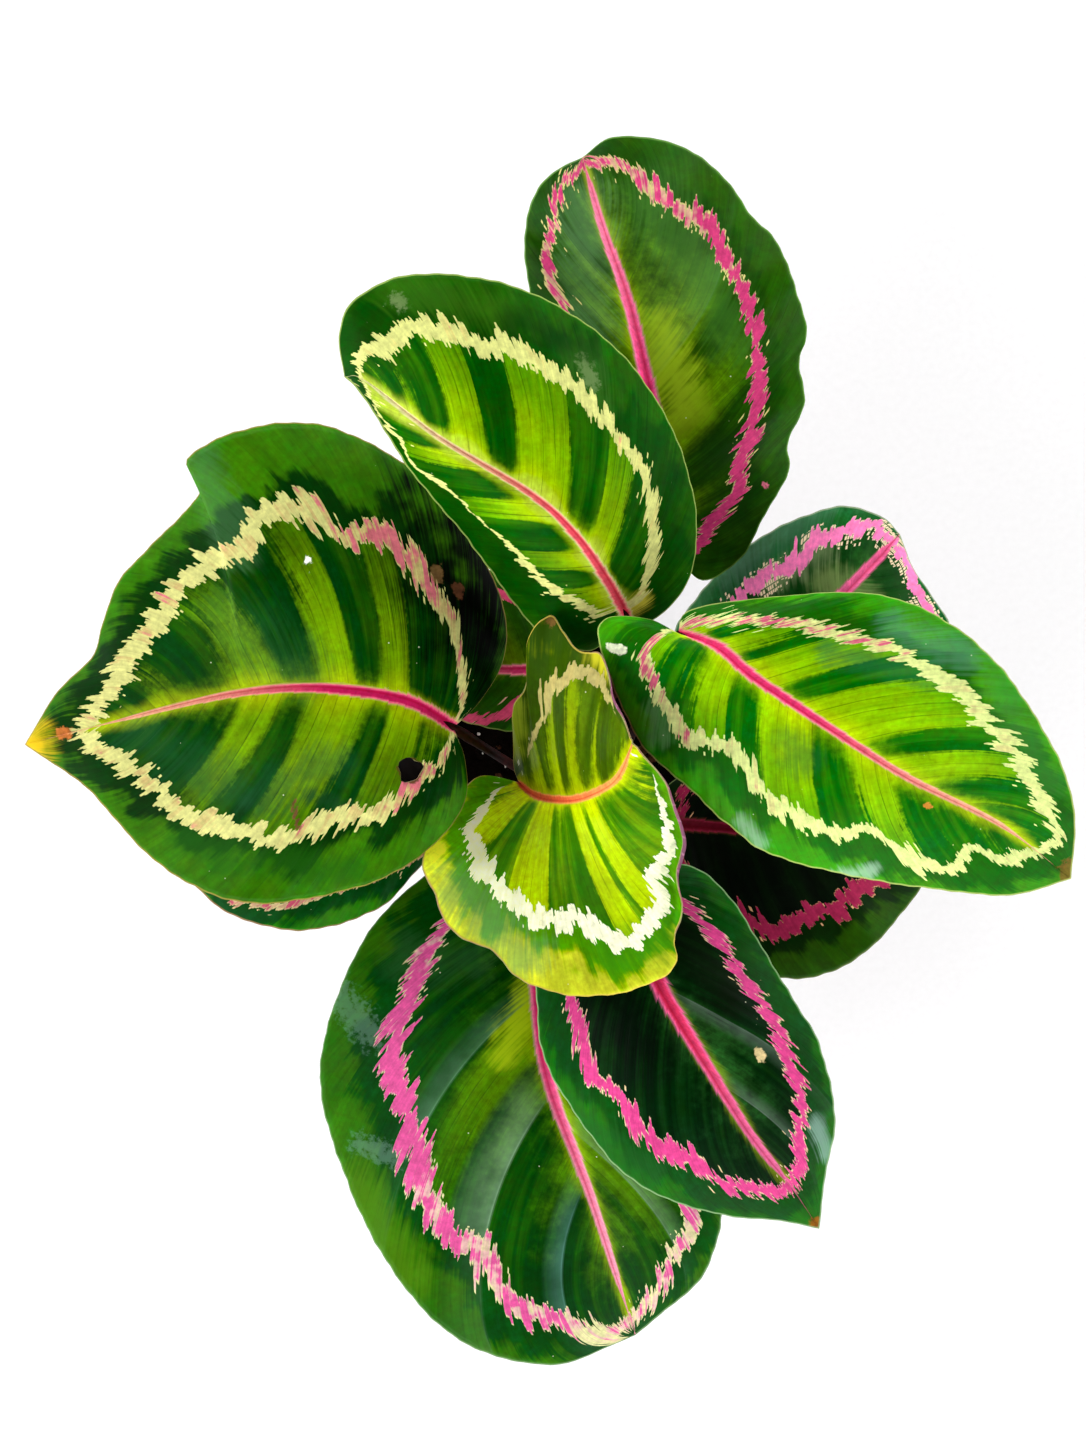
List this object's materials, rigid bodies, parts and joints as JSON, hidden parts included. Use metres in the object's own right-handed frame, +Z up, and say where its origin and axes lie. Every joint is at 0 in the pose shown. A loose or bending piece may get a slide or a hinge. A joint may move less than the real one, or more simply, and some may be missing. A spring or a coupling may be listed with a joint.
{
  "type": "potted rose-painted calathea",
  "caption": "Potted rose-painted calathea with broad oval leaves on thin stalks, each with a pink midrib and a jagged pale or pink ring, growing from soil in a plain dark nursery pot",
  "frame": {"origin": "the middle of the pot's flat base, where the pot stands on the ground", "axes": "+Z up along the pot's axis; +X to the right and +Y to the top of the picture, which looks straight down"},
  "size_m": [0.3573, 0.4371, 0.3122],
  "materials": {
    "pot_plastic": "satin",
    "potting_soil": "matte",
    "leaf": "satin"
  },
  "bodies": {
    "root": {"pot": "pot_plastic", "soil": "potting_soil", "leaf_west": "leaf", "leaf_southwest": "leaf", "leaf_northwest": "leaf", "leaf_north": "leaf", "leaf_northeast": "leaf", "leaf_east": "leaf", "leaf_young": "leaf", "leaf_south": "leaf", "leaf_southeast": "leaf", "leaf_low_east": "leaf", "leaf_low_west": "leaf"}
  },
  "joints": []
}
